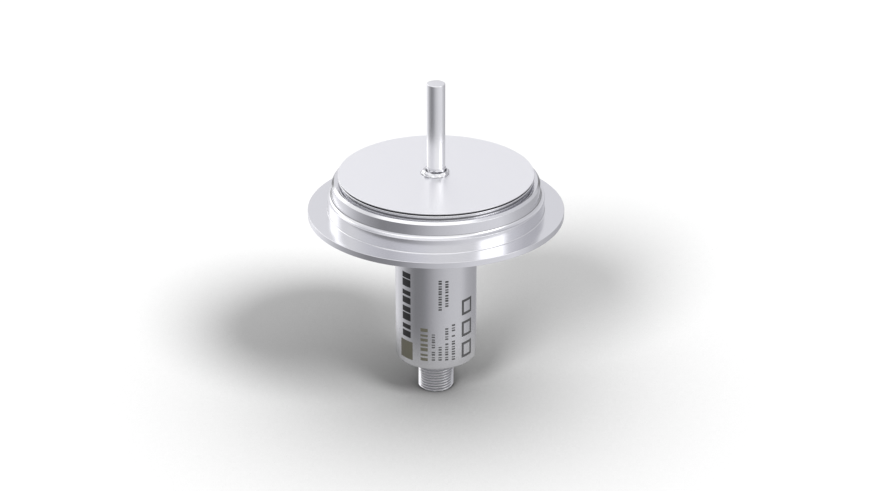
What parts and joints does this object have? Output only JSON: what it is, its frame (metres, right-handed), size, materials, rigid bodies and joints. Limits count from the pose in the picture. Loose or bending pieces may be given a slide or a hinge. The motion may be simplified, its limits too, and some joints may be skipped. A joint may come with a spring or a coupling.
{
  "type": "flow and temperature probe",
  "caption": "Flow and temperature probe: a slim closed rod on a stepped, turned process flange, with a plain round steel housing and a threaded plug stub under it.",
  "frame": {"origin": "on the probe's axis, in the plane of the flange seat that meets the process port", "axes": "+Z along the axis towards the probe's tip; -Y towards the plug's coding rib and the front of the main board; +X completes a right-handed frame"},
  "size_m": [0.084, 0.084, 0.1095],
  "materials": {
    "flange_steel": "finely turned and electropolished stainless steel",
    "probe_steel": "polished drawn stainless tube",
    "housing_steel": "smooth satin stainless steel",
    "stub_steel": "turned and threaded stainless steel",
    "insert_plastic": "black glass-filled moulding",
    "seal_rubber": "black elastomer ring",
    "contact_gold": "gold-plated brass",
    "board_laminate": "green lacquered glass laminate",
    "carrier_plastic": "dark grey moulding",
    "header_plastic": "natural heat-resistant moulding",
    "chip_plastic": "moulded black epoxy",
    "inductor_ferrite": "dark pressed ferrite",
    "capacitor_aluminium": "bare drawn can",
    "strip_film": "amber polyimide film",
    "element_ceramic": "white thin-film element",
    "fill_compound": "pale heat-conducting compound"
  },
  "bodies": {
    "root": {"process_flange": "flange_steel", "probe_tube": "probe_steel", "housing_cup": "housing_steel", "connector_sleeve": "stub_steel", "connector_insert": "insert_plastic", "insert_seal": "seal_rubber", "contact_pin_1": "contact_gold", "contact_pin_2": "contact_gold", "contact_pin_3": "contact_gold", "contact_pin_4": "contact_gold", "connector_board": "board_laminate", "main_board": "board_laminate", "board_carrier": "carrier_plastic", "board_header": "header_plastic", "microcontroller": "chip_plastic", "signal_converter": "chip_plastic", "output_driver": "chip_plastic", "protection_diode": "chip_plastic", "voltage_regulator": "chip_plastic", "power_inductor": "inductor_ferrite", "buffer_capacitor": "capacitor_aluminium", "strip_connector": "header_plastic", "sensor_strip": "strip_film", "heated_element": "element_ceramic", "reference_element": "element_ceramic", "tip_fill": "fill_compound", "reference_fill": "fill_compound"}
  },
  "joints": []
}
